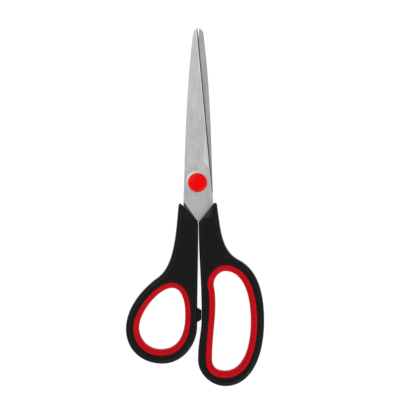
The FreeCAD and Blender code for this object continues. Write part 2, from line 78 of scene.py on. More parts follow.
class Shade:
    """One socket of a node tree. Arithmetic on it adds Math nodes."""

    def __init__(self, wiring: "Wiring", socket: bpy.types.NodeSocket) -> None:
        """Wraps a socket of a tree."""
        self.wiring = wiring
        self.socket = socket

    def _maths(self, operation: str, first: Any, second: Any) -> "Shade":
        """Adds one Math node."""
        return self.wiring.add("ShaderNodeMath", {"operation": operation}, {0: first, 1: second})

    def __add__(self, other: Any) -> "Shade":
        """Sum."""
        return self._maths("ADD", self, other)

    def __radd__(self, other: Any) -> "Shade":
        """Sum with a number on the left."""
        return self._maths("ADD", other, self)

    def __sub__(self, other: Any) -> "Shade":
        """Difference."""
        return self._maths("SUBTRACT", self, other)

    def __rsub__(self, other: Any) -> "Shade":
        """Difference with a number on the left."""
        return self._maths("SUBTRACT", other, self)

    def __mul__(self, other: Any) -> "Shade":
        """Product."""
        return self._maths("MULTIPLY", self, other)

    def __rmul__(self, other: Any) -> "Shade":
        """Product with a number on the left."""
        return self._maths("MULTIPLY", other, self)


class Wiring:
    """A node tree that is built one node at a time."""

    def __init__(self, tree: bpy.types.NodeTree) -> None:
        """Starts on an emptied tree."""
        self.tree = tree
        self.tree.nodes.clear()

    def add(self, kind: str, settings: Dict[str, Any], sockets: Dict[Any, Any],
            out: Union[int, str] = 0) -> Shade:
        """Adds a node.

        Args:
            kind: The node's type.
            settings: Its properties, which are set first.
            sockets: Values or links of its inputs, by name or number.
            out: The output to hand back.

        Returns:
            That output, ready for arithmetic, or the first input of a node that has no outputs.
        """
        node = self.tree.nodes.new(kind)
        for name, value in settings.items():
            setattr(node, name, value)
        for name, value in sockets.items():
            if isinstance(value, Shade):
                self.tree.links.new(value.socket, node.inputs[name])
            else:
                node.inputs[name].default_value = value
        return Shade(self, node.outputs[out] if len(node.outputs) else node.inputs[0])


class FinishTree(Wiring):
    """A material's tree, with object coordinates ready."""

    def __init__(self, name: str) -> None:
        """Makes an empty material.

        Args:
            name: The material's name.
        """
        self.material = bpy.data.materials.new(name)
        self.material.use_nodes = True
        super().__init__(self.material.node_tree)
        self.place = self.add("ShaderNodeTexCoord", {}, {}, out="Object")

    def stretched(self, scale: Tuple[float, float, float], turn: float = 0.0) -> Shade:
        """Object coordinates turned about Z by an angle in radians, then scaled."""
        return self.add("ShaderNodeMapping", {}, {"Vector": self.place, "Scale": scale,
                                                  "Rotation": (0.0, 0.0, turn)})

    def noise(self, scale: float, detail: float = 2.0, rough: float = 0.5,
              vector: Optional[Shade] = None) -> Shade:
        """Noise from 0 to 1.

        Args:
            scale: Cells to the metre.
            detail: Octaves.
            rough: Weight of the finer octaves.
            vector: Coordinates, the object's own where none are given.

        Returns:
            The noise.
        """
        return self.add("ShaderNodeTexNoise", {}, {"Vector": vector or self.place, "Scale": scale,
                                                   "Detail": detail, "Roughness": rough})

    def mixed(self, amount: Any, low: Any, high: Any) -> Shade:
        """A colour between two colours."""
        return self.add("ShaderNodeMix", {"data_type": "RGBA"}, {0: amount, 6: low, 7: high}, out=2)

    def bump(self, height: Shade, strength: float, distance: float) -> Shade:
        """A normal disturbed by a height."""
        return self.add("ShaderNodeBump", {}, {"Height": height, "Strength": strength, "Distance": distance})

    def finish(self, sockets: Dict[str, Any]) -> bpy.types.Material:
        """Ends the tree in a Principled shader.

        Args:
            sockets: The shader's inputs.

        Returns:
            The material.
        """
        shader = self.add("ShaderNodeBsdfPrincipled", {}, sockets, out="BSDF")
        self.add("ShaderNodeOutputMaterial", {}, {"Surface": shader})
        return self.material


def shaded(colour: Tuple[float, float, float], factor: float = 1.0) -> Colour:
    """A colour with alpha, darker or lighter by a factor."""
    return (colour[0] * factor, colour[1] * factor, colour[2] * factor, 1.0)


@dataclass(frozen=True)
class GroundSteel:
    """Blade steel ground along its length: fine streaks with soft clouds between them, and painted shade below a
    given height where one is set.
    """

    name: str = "ground_steel"
    colour: Tuple[float, float, float] = (0.63, 0.622, 0.614)
    roughness: float = 0.42
    metallic: float = 0.8
    turn: float = 0.0
    # Painted shade: below a height the colour darkens towards black, down to a share of itself, standing in for the
    # shadow round the tang.
    painted_shade_below: float = -1.0
    painted_shade_fade: float = 0.006
    painted_shade_share: float = 0.25

    def material(self) -> bpy.types.Material:
        """Builds the finish."""
        tree = FinishTree(self.name)
        streaks = tree.noise(1.0, 3.0, 0.65, tree.stretched((3800.0, 60.0, 3800.0), self.turn))
        scores = tree.noise(1.0, 2.0, 0.6, tree.stretched((900.0, 70.0, 900.0), self.turn + 0.03))
        mottle = tree.noise(1.0, 3.0, 0.7, tree.stretched((620.0, 330.0, 620.0), self.turn))
        clouds = tree.noise(1.0, 2.0, 0.5, tree.stretched((170.0, 60.0, 170.0), self.turn))
        grain = streaks * 0.5 + scores * 0.5
        tone = grain * 0.3 + mottle * 0.35 + clouds * 0.35
        height = tree.add("ShaderNodeSeparateXYZ", {}, {0: tree.place}, out="Y")
        # painted shade: 1 above the height, falling to the shade share below it
        bright = tree.add("ShaderNodeMapRange", {}, {
            "Value": height, "From Min": self.painted_shade_below - self.painted_shade_fade, "From Max": self.painted_shade_below,
            "To Min": self.painted_shade_share, "To Max": 1.0})
        ground = tree.mixed(tone, shaded(self.colour, 0.42), shaded(self.colour, 1.58))
        colour = tree.mixed(bright, (0.0, 0.0, 0.0, 1.0), ground)
        return tree.finish({
            "Base Color": colour,
            "Metallic": self.metallic,
            "Roughness": self.roughness - 0.07 + grain * 0.14,
            "Normal": tree.bump(grain, 0.35, 0.00002),
        })


@dataclass(frozen=True)
class MouldedPlastic:
    """Hard plastic from a satin mould, with a fine etched grain."""

    name: str = "moulded_plastic"
    colour: Tuple[float, float, float] = (0.003, 0.003, 0.0029)
    roughness: float = 0.34
    specular: float = 0.24

    def material(self) -> bpy.types.Material:
        """Builds the finish."""
        tree = FinishTree(self.name)
        etched = tree.noise(5200.0, 2.0, 0.6)
        flow = tree.noise(130.0, 3.0, 0.55)
        colour = tree.mixed(flow * 0.6 + etched * 0.4, shaded(self.colour, 0.7), shaded(self.colour, 1.35))
        return tree.finish({
            "Base Color": colour,
            "Roughness": self.roughness - 0.05 + etched * 0.06 + flow * 0.05,
            "Specular IOR Level": self.specular,
            "Normal": tree.bump(etched, 0.22, 0.00004),
        })


@dataclass(frozen=True)
class SoftRubber:
    """Soft moulded rubber: a dull skin with a faint bloom."""

    name: str = "soft_rubber"
    colour: Tuple[float, float, float] = (0.53, 0.0005, 0.0065)
    roughness: float = 0.46
    specular: float = 0.1

    def material(self) -> bpy.types.Material:
        """Builds the finish."""
        tree = FinishTree(self.name)
        skin = tree.noise(3600.0, 3.0, 0.6)
        bloom = tree.noise(210.0, 2.0, 0.5)
        colour = tree.mixed(skin * 0.35 + bloom * 0.65, shaded(self.colour, 0.9), shaded(self.colour, 1.1))
        return tree.finish({
            "Base Color": colour,
            "Roughness": self.roughness - 0.06 + skin * 0.07 + bloom * 0.06,
            "Specular IOR Level": self.specular,
            "Normal": tree.bump(skin, 0.25, 0.00005),
        })


@dataclass(frozen=True)
class GlossPlastic:
    """Polished moulded plastic with a faint ripple."""

    name: str = "gloss_plastic"
    colour: Tuple[float, float, float] = (0.85, 0.0003, 0.0015)
    roughness: float = 0.24
    specular: float = 0.14

    def material(self) -> bpy.types.Material:
        """Builds the finish."""
        tree = FinishTree(self.name)
        ripple = tree.noise(420.0, 2.0, 0.5)
        dust = tree.noise(6000.0, 2.0, 0.6)
        return tree.finish({
            "Base Color": tree.mixed(ripple, shaded(self.colour, 0.96), shaded(self.colour, 1.04)),
            "Roughness": self.roughness - 0.04 + dust * 0.08,
            "Specular IOR Level": self.specular,
            "Normal": tree.bump(ripple, 0.12, 0.0001),
        })


@dataclass(frozen=True)
class TurnedMetal:
    """Plated metal turned on a lathe: rings about the pivot axis."""

    name: str
    centre: Tuple[float, float, float]
    colour: Tuple[float, float, float] = (0.6, 0.605, 0.61)
    roughness: float = 0.3
    metallic: float = 1.0
    pitch: float = 9000.0

    def material(self) -> bpy.types.Material:
        """Builds the finish."""
        tree = FinishTree(self.name)
        about = tree.add("ShaderNodeMapping", {"vector_type": "TEXTURE"},
                         {"Vector": tree.place, "Location": self.centre})
        rings = tree.add("ShaderNodeTexWave", {"wave_type": "RINGS", "rings_direction": "Z"},
                         {"Vector": about, "Scale": self.pitch / 20.0, "Distortion": 1.2, "Detail": 2.0},
                         out="Fac")
        stain = tree.noise(700.0, 3.0, 0.6)
        return tree.finish({
            "Base Color": tree.mixed(rings * 0.4 + stain * 0.6, shaded(self.colour, 0.86),
                                     shaded(self.colour, 1.1)),
            "Metallic": self.metallic,
            "Roughness": self.roughness - 0.05 + rings * 0.06 + stain * 0.08,
            "Normal": tree.bump(rings, 0.12, 0.00002),
        })


# --------------------------------------------------------------------------------------------- outlines


class Side(Enum):
    """Which wall of a moulding or blade a run of its outline belongs to."""

    OUTER = "outer"
    MIDDLE = "middle"
    SLANT = "slant"
    SPINE = "spine"
    EDGE = "edge"
    PLAIN = "plain"


@dataclass(frozen=True)
class Knot:
    """A point of an outline with its tangent: steep ones run along Y, the others along X."""

    x: float
    y: float
    steep: bool = True
    lean: float = 0.0

    def pulled_to(self, other: "Knot", pull: float) -> Pair:
        """The point on this knot's tangent, a share of the way to another knot."""
        if self.steep:
            rise = (other.y - self.y) * pull
            return self.x + rise * self.lean, self.y + rise
        run = (other.x - self.x) * pull
        return self.x + run, self.y + run * self.lean

    @property
    def at(self) -> Pair:
        """Its place."""
        return self.x, self.y


def straight(start: Pair, end: Pair, pitch: float = 0.5) -> np.ndarray:
    """Points along a straight side, both ends included."""
    count = max(2, int(math.dist(start, end) / pitch) + 1)
    return np.linspace(start, end, count)


def curved(here: Knot, leave: float, there: Knot, arrive: float, pitch: float = 0.35) -> np.ndarray:
    """Points along the cubic curve between two knots, both ends included.

    Args:
        here: The first knot.
        leave: Share of the span that its tangent reaches over.
        there: The second knot.
        arrive: The same share at the second knot.
        pitch: Spacing of the points.

    Returns:
        The points, one row each.
    """
    poles = np.array([here.at, here.pulled_to(there, leave), there.pulled_to(here, arrive), there.at])
    reach = np.linalg.norm(np.diff(poles, axis=0), axis=1).sum()
    share = np.linspace(0.0, 1.0, max(10, int(reach / pitch)) + 1)[:, None]
    rest = 1.0 - share
    return (rest ** 3 * poles[0] + 3 * rest ** 2 * share * poles[1]
            + 3 * rest * share ** 2 * poles[2] + share ** 3 * poles[3])


class Run:
    """One side of an outline: an open row of points that answers how far away it is."""

    def __init__(self, side: Side, *rows: np.ndarray) -> None:
        """Joins rows of points that follow one another.

        Args:
            side: The wall that this run belongs to.
            rows: The rows, each starting where the last one ends.
        """
        self.side = side
        self.points = np.vstack([rows[0]] + [row[1:] for row in rows[1:]])

    def cut_back(self, length: float, at_end: bool) -> np.ndarray:
        """Takes a length off one end.

        Args:
            length: How much to take.
            at_end: Whether to take it off the last point or off the first.

        Returns:
            The new end point.
        """
        points = self.points[::-1] if at_end else self.points
        steps = np.linalg.norm(np.diff(points, axis=0), axis=1)
        run = np.concatenate([[0.0], np.cumsum(steps)])
        where = np.array([np.interp(length, run, points[:, axis]) for axis in (0, 1)])
        kept = np.vstack([where, points[run > length + 1e-3]])
        self.points = kept[::-1] if at_end else kept
        return where

    def distance(self, places: np.ndarray) -> np.ndarray:
        """How far each place is from this run."""
        tree = KDTree(len(self.points))
        for number, (x, y) in enumerate(self.points):
            tree.insert((x, y, 0.0), number)
        tree.balance()
        nearest = np.array([tree.find((x, y, 0.0))[1] for x, y in places])
        best = np.full(len(places), np.inf)
        for step in (-1, 0):
            first = np.clip(nearest + step, 0, len(self.points) - 2)
            start = self.points[first]
            along = self.points[first + 1] - start
            share = ((places - start) * along).sum(1) / np.maximum((along ** 2).sum(1), 1e-12)
            foot = start + np.clip(share, 0.0, 1.0)[:, None] * along
            best = np.minimum(best, np.linalg.norm(places - foot, axis=1))
        return best


class Outline:
    """A closed outline made of runs."""

    def __init__(self, runs: Sequence[Run]) -> None:
        """Keeps the runs in order; each starts where the one before it ends."""
        self.runs = list(runs)

    def round_corner(self, number: int, cut: float) -> None:
        """Rounds the corner between a run and the one after it.

        Args:
            number: The run that ends at the corner.
            cut: How far back along both runs the rounding starts.
        """
        first = self.runs[number]
        second = self.runs[(number + 1) % len(self.runs)]
        corner = first.points[-1].copy()
        start = first.cut_back(cut, at_end=True)
        end = second.cut_back(cut, at_end=False)
        share = np.linspace(0.0, 1.0, 13)[:, None]
        arc = (1 - share) ** 2 * start + 2 * share * (1 - share) * corner + share ** 2 * end
        first.points = np.vstack([first.points, arc[1:7]])
        second.points = np.vstack([arc[6:-1], second.points])

    @property
    def loop(self) -> np.ndarray:
        """The whole outline, each point once."""
        rows = np.vstack([run.points[:-1] for run in self.runs])
        gaps = np.linalg.norm(rows - np.roll(rows, 1, axis=0), axis=1)
        return rows[gaps > 1e-4]

    @property
    def turn(self) -> float:
        """1 where the outline runs anticlockwise, -1 where it runs clockwise."""
        x, y = self.loop.T
        return math.copysign(1.0, float((x * np.roll(y, -1) - np.roll(x, -1) * y).sum()))

    def holds(self, places: np.ndarray) -> np.ndarray:
        """Which places lie inside."""
        start = self.loop
        end = np.roll(start, -1, axis=0)
        rise = end[:, 1] - start[:, 1]
        rise[rise == 0] = 1e-12
        inside = np.zeros(len(places), bool)
        for first in range(0, len(places), 4000):
            x, y = places[first:first + 4000].T
            across = (start[:, 1] > y[:, None]) != (end[:, 1] > y[:, None])
            at = start[:, 0] + (y[:, None] - start[:, 1]) / rise * (end[:, 0] - start[:, 0])
            inside[first:first + 4000] = (across & (x[:, None] < at)).sum(1) % 2 == 1
        return inside

    def distance(self, places: np.ndarray) -> np.ndarray:
        """How far each place is from the outline."""
        return np.min([run.distance(places) for run in self.runs], axis=0)

    def signed(self, places: np.ndarray) -> np.ndarray:
        """Distance from the outline, negative inside it."""
        return self.distance(places) * np.where(self.holds(places), -1.0, 1.0)

    def shifted(self, run: Run, inset: float) -> np.ndarray:
        """A run moved square to itself, inwards for a positive inset."""
        along = np.gradient(run.points, axis=0)
        along /= np.maximum(np.linalg.norm(along, axis=1), 1e-12)[:, None]
        inward = np.column_stack([-along[:, 1], along[:, 0]]) * self.turn
        return run.points + inward * inset


@dataclass(frozen=True)
class Section:
    """How a surface rises from a wall: insets from the wall and the heights there."""

    insets: Tuple[float, ...]
    heights: Tuple[float, ...]

    def height(self, distance: np.ndarray) -> np.ndarray:
        """The height at a distance from the wall."""
        return np.interp(distance, self.insets, self.heights)


# ---------------------------------------------------------------------------------------------- meshing


class Bench:
    """Where pieces are made: it knows the pivot's place and turns millimetres into the frame's metres."""

    def __init__(self, pivot: Sequence[float]) -> None:
        """Sets the bench up on the pivot.

        Args:
            pivot: The pivot's place in the frame, in metres.
        """
        self.pivot = np.array(pivot, float)

    def place(self, points: Any) -> np.ndarray:
        """Points in millimetres about the pivot, as metres in the frame."""
        return np.array(points, float).reshape(-1, 3) * MM + self.pivot

    def mesh(self, name: str, points: Any, faces: Sequence[Sequence[int]], sharp: float) -> bpy.types.Object:
        """A smooth mesh object with crisp edges above an angle.

        Args:
            name: The piece's name.
            points: Its vertices in millimetres about the pivot.
            faces: Its faces.
            sharp: The angle in degrees past which an edge stays crisp.

        Returns:
            The object, linked to the scene.
        """
        data = bpy.data.meshes.new(name)
        data.from_pydata([tuple(p) for p in self.place(points)], [], [tuple(f) for f in faces])
        return self.dressed(name, data, sharp)

    def dressed(self, name: str, data: bpy.types.Mesh, sharp: float) -> bpy.types.Object:
        """Merges doubles, turns the faces outwards, sets the crisp edges and links the object."""
        form = bmesh.new()
        form.from_mesh(data)
        bmesh.ops.remove_doubles(form, verts=form.verts, dist=1e-6)
        bmesh.ops.dissolve_degenerate(form, edges=form.edges, dist=1e-7)
        bmesh.ops.recalc_face_normals(form, faces=form.faces)
        for face in form.faces:
            face.smooth = True
        for edge in form.edges:
            edge.smooth = edge.calc_face_angle(math.pi) < math.radians(sharp)
        form.to_mesh(data)
        form.free()
        piece = bpy.data.objects.new(name, data)
        bpy.context.scene.collection.objects.link(piece)
        return piece

    def turned(self, name: str, profile: Sequence[Pair], steps: int = 96, sharp: float = 40.0) -> bpy.types.Object:
        """A solid of revolution about the pivot axis.

        Args:
            name: The piece's name.
            profile: Radius and height pairs from one end of the axis to the other.
            steps: Facets round the axis.
            sharp: The angle in degrees past which an edge stays crisp.

        Returns:
            The object.
        """
        points: List[Tuple[float, float, float]] = []
        rings: List[List[int]] = []
        for radius, height in profile:
            if radius < 1e-6:
                rings.append([len(points)] * steps)
                points.append((0.0, 0.0, height))
                continue
            rings.append(list(range(len(points), len(points) + steps)))
            points += [(radius * math.cos(a), radius * math.sin(a), height)
                       for a in np.linspace(0.0, 2 * math.pi, steps, endpoint=False)]
        faces = []
        for low, high in zip(rings, rings[1:]):
            for i in range(steps):
                j = (i + 1) % steps
                face = list(dict.fromkeys([low[i], low[j], high[j], high[i]]))
                if len(face) > 2:
                    faces.append(face)
        return self.mesh(name, points, faces, sharp)

    def dressed_copy(self, node: bpy.types.Object, name: str, bevel: float) -> bpy.types.Object:
        """A machined copy of a CAD node: its flats made whole and its edges broken.

        Args:
            node: The CAD node.
            name: The new piece's name.
            bevel: Width of the broken edges in millimetres.

        Returns:
            The new piece.
        """
        form = bmesh.new()
        form.from_mesh(node.data)
        bmesh.ops.remove_doubles(form, verts=form.verts, dist=1e-6)
        bmesh.ops.dissolve_limit(form, angle_limit=math.radians(0.6), verts=form.verts, edges=form.edges)
        corners = [edge for edge in form.edges if edge.calc_face_angle(0.0) > math.radians(32)]
        bmesh.ops.bevel(form, geom=corners, offset=bevel * MM, offset_type="OFFSET", segments=2, profile=0.5,
                        affect="EDGES", clamp_overlap=True)
        data = bpy.data.meshes.new(name)
        form.to_mesh(data)
        form.free()
        return self.dressed(name, data, 38.0)


class Relief:
    """A plate whose two faces rise and fall with the distance to its walls.

    Rows of points follow the walls and the creases, and the plan between them is filled with triangles.
    """

    def __init__(self) -> None:
        """Starts empty."""
        self.points: List[np.ndarray] = []
        self.edges: List[Pair] = []
        self.count = 0

    def row(self, points: np.ndarray, closed: bool = False) -> None:
        """Adds a row of points and the edges between them."""
        if len(points) < 2:
            return
        ends = [(self.count + i, self.count + i + 1) for i in range(len(points) - 1)]
        if closed:
            ends.append((self.count + len(points) - 1, self.count))
        self.edges += ends
        self.points.append(points)
        self.count += len(points)

    def creases(self, outline: Outline, run: Run, insets: Sequence[float],
                wanted: Callable[[np.ndarray], np.ndarray]) -> None:
        """Rows beside a wall, at each inset, where they are wanted."""
        for inset in insets:
            row = outline.shifted(run, inset)
            keep = wanted(row)
            for part in np.split(np.arange(len(row)), np.flatnonzero(np.diff(keep.astype(int))) + 1):
                if keep[part[0]]:
                    self.row(row[part])

    def scatter(self, points: np.ndarray) -> None:
        """Adds loose points."""
        self.points.append(points)
        self.count += len(points)

    def build(self, inside: Callable[[np.ndarray], np.ndarray], top: Callable[[np.ndarray], np.ndarray],
              bottom: Callable[[np.ndarray], np.ndarray]) -> Tuple[np.ndarray, List[List[int]]]:
        """Fills the plan and raises its two faces.

        Args:
            inside: Which places belong to the plate.
            top: The height of the upper face at each place.
            bottom: The height of the lower face at each place.

        Returns:
            The vertices and the faces.
        """
        places = np.vstack(self.points)
        found = delaunay_2d_cdt([Vector(p) for p in places], self.edges, [], 0, 1e-4)
        plan = np.array([tuple(p) for p in found[0]])
        faces = np.array([tuple(face) for face in found[2]])
        faces = faces[inside(plan[faces].mean(1))]
        used, faces = np.unique(faces, return_inverse=True)
        plan, faces = plan[used], faces.reshape(-1, 3)
        high, low = top(plan), bottom(plan)
        size = len(plan)
        half = np.vstack([faces[:, [0, 1]], faces[:, [1, 2]], faces[:, [2, 0]]])
        known = {tuple(edge) for edge in half.tolist()}
        made = faces.tolist() + (faces[:, ::-1] + size).tolist()
        for a, b in half.tolist():
            if (b, a) in known:
                continue
            wall = [a, a + size, b + size, b]
            if high[a] - low[a] < 1e-4:
                wall.remove(a)
            if high[b] - low[b] < 1e-4:
                wall.remove(b)
            if len(wall) > 2:
                made.append(wall)
        points = np.vstack([np.column_stack([plan, high]), np.column_stack([plan, low])])
        return points, made


# ----------------------------------------------------------------------------------------- sub-assemblies


@dataclass
class Blade:
    """A blade with its tang, ground on its outer face."""

    name: str
    node: str
    side: int
    inner: float = 0.05
    thick: float = 1.6
    shift: float = 0.4
    spine_root: float = 8.7
    spine_end: float = 3.05
    tip_reach: float = 90.7
    tip_round: float = 3.3
    tip_point: float = 0.5
    heel: Pair = (8.45, 5.3)
    heel_flare: float = 0.15
    shoulder: float = 11.0
    slant: Pair = (10.9, 15.1)
    tang_width: float = 6.4
    tang_end: float = 46.0
    tang_lean: float = 1.8
    anchors: Tuple[float, ...] = (33.0, 41.0)
    anchor_bore: float = 1.7
    pivot_bore: float = 2.85
    bevel: float = 0.6
    land: float = 0.4
    facet_top: float = 37.5
    facet_full: float = 14.0
    facet_end: float = 9.0
    facet_width: float = 3.7
    facet_slope: float = 0.1
    spine_rounding: float = 0.14
    # width of the band along the cutting edge that gets the painted highlight
    painted_highlight_band: float = 0.5
    finish: GroundSteel = field(default_factory=GroundSteel)
    # Painted highlight: near-white steel on the real ground facet and the edge band, for the reflection they show.
    painted_highlight_finish: GroundSteel = GroundSteel("steel_facet_painted_highlight", (0.94, 0.935, 0.93), 0.36)
    # Painted shadow: near-black steel on the cutting bevel, for the dark shadow line beside the cutting edge.
    painted_shadow_finish: GroundSteel = GroundSteel("steel_bevel_painted_shadow", (0.07, 0.069, 0.068), 0.4)

    def at(self, across: float, y: float) -> Pair:
        """A place given across from the line between the closed blades."""
        return self.shift + across * self.side, y

    def outline(self) -> Outline:
        """The blade's outline: spine and tip, cutting edge, heel and tang."""
        root = Knot(*self.at(self.spine_root, -self.shoulder), True, -0.03 * self.side)
        rounding = Knot(*self.at(self.spine_end, self.tip_reach - self.tip_round), True, -0.135 * self.side)
        point = Knot(*self.at(self.tip_point, self.tip_reach), False, -0.17 * self.side)
        inner = self.spine_root - self.slant[0]
        tip = inner - self.tang_lean
        heel = self.at(-self.heel[0], -self.heel[1])
        flare = self.at(-self.heel[0] - self.heel_flare, -self.shoulder)
        corners = [heel, flare, self.at(tip - self.tang_width, -self.tang_end), self.at(tip, -self.tang_end),
                   self.at(inner, -self.shoulder - self.slant[1]), root.at]
        spine = Run(Side.SPINE, curved(root, 0.333, rounding, 0.3, 0.6), curved(rounding, 0.55, point, 0.45, 0.15))
        edge = Run(Side.EDGE, straight(point.at, heel, 0.6))
        rest = [Run(Side.PLAIN, straight(a, b, 1.0)) for a, b in zip(corners, corners[1:])]
        return Outline([spine, edge] + rest)

    def facet(self, places: np.ndarray) -> np.ndarray:
        """Width of the hollow-ground facet beside the cutting edge, at each place's height up the blade."""
        rise = np.clip((self.facet_top - places[:, 1]) / (self.facet_top - self.facet_full), 0.0, 1.0)
        fall = np.clip((places[:, 1] - self.facet_end) / (self.facet_full - self.facet_end), 0.0, 1.0)
        return self.facet_width * rise ** 0.85 * np.sqrt(1.0 - (1.0 - fall) ** 2)

    def outer(self, outline: Outline, places: np.ndarray) -> np.ndarray:
        """How thick the steel is at each place."""
        to_edge = outline.runs[1].distance(places)
        to_spine = outline.runs[0].distance(places)
        hollow = np.maximum(self.facet(places) - to_edge, 0.0) * self.facet_slope
        ground = self.thick - hollow
        bevel = self.land + to_edge * (self.thick - self.land) / self.bevel
        past = np.clip(1.0 - to_spine / self.spine_rounding, 0.0, 1.0)
        rounding = self.thick - self.spine_rounding * (1.0 - np.sqrt(1.0 - past ** 2))
        return np.minimum(np.minimum(ground, bevel), rounding)

    def build(self, bench: Bench) -> bpy.types.Object:
        """Grinds the blade."""
        outline = self.outline()
        holes = [self.circle(self.anchor_bore, self.shift + (self.spine_root - self.slant[0] - (
            self.tang_lean + self.tang_width) / 2) * self.side, -drop) for drop in self.anchors]
        holes.append(self.circle(self.pivot_bore, 0.0, 0.0))
        relief = Relief()
        relief.row(outline.loop, closed=True)
        for hole in holes:
            relief.row(hole.loop, closed=True)

        def kept(places: np.ndarray) -> np.ndarray:
            return outline.holds(places) & (outline.distance(places) > 0.02)

        relief.creases(outline, outline.runs[0], [0.03, 0.08, self.spine_rounding, 0.4], kept)
        spread = straight((0.0, self.tip_reach), (0.0, 0.0), 0.5)
        edge = outline.runs[1].points
        width = self.facet(edge)
        inward = outline.shifted(outline.runs[1], 1.0) - edge
        relief.creases(outline, outline.runs[1], [self.bevel, self.bevel + self.painted_highlight_band], kept)
        limit = edge + inward * width[:, None]
        relief.row(limit[(width > self.bevel * 1.4) & kept(limit)])
        grid = np.array([(x, y) for y in spread[::4, 1] for x in np.arange(-8.0, 9.0, 2.0)])
        relief.scatter(grid[kept(grid) & (outline.distance(grid) > 1.2)])

        def inside(places: np.ndarray) -> np.ndarray:
            solid = outline.holds(places)
            for hole in holes:
                solid &= ~hole.holds(places)
            return solid

        def outer(places: np.ndarray) -> np.ndarray:
            return self.inner + self.outer(outline, places)

        def flat(places: np.ndarray) -> np.ndarray:
            return np.full(len(places), self.inner)

        points, faces = relief.build(inside, outer, flat)
        if self.side > 0:
            points[:, 2] *= -1.0
        piece = bench.mesh(self.name, points, faces, 12.0)
        self.dress(piece, bench, outline)
        return piece

    def dress(self, piece: bpy.types.Object, bench: Bench, outline: Outline) -> None:
        """Colours the ground facet and a band along the cutting edge near-white, a painted highlight, and the cutting
        bevel near-black, a painted shadow.

        Args:
            piece: The blade.
            bench: Where it was made.
            outline: Its outline.
        """
        for finish in (self.finish, self.painted_highlight_finish, self.painted_shadow_finish):
            piece.data.materials.append(finish.material())
        faces = piece.data.polygons
        middles = (np.array([face.center for face in faces]) - bench.pivot) / MM
        lean = np.array([face.normal.z for face in faces]) * -self.side
        to_edge = outline.runs[1].distance(middles[:, :2])
        # painted highlight: outward faces on the facet and the edge band take the near-white steel
        ground = (lean > 0.5) & (to_edge < np.maximum(self.facet(middles), self.bevel + self.painted_highlight_band))
        # painted shadow: steep faces within the bevel take the near-black steel
        cut = (np.abs(lean) < 0.7) & (to_edge < self.bevel)
        faces.foreach_set("material_index", np.where(cut, 2, np.where(ground, 1, 0)))

    @staticmethod
    def circle(radius: float, x: float, y: float) -> Outline:
        """A round hole."""
        angles = np.linspace(0.0, 2 * math.pi, 49)
        return Outline([Run(Side.PLAIN, np.column_stack([x + radius * np.cos(angles),
                                                         y + radius * np.sin(angles)]))])


@dataclass
class Eye:
    """A finger hole: knots round it and the pulls between them."""

    knots: Tuple[Knot, ...]
    pulls: Tuple[Pair, ...]

    def outline(self, pitch: float = 0.35) -> Outline:
        """The finger hole's outline."""
        rows = [curved(here, leave, there, arrive, pitch) for here, there, (leave, arrive)
                in zip(self.knots, self.knots[1:] + self.knots[:1], self.pulls)]
        return Outline([Run(Side.PLAIN, *rows)])


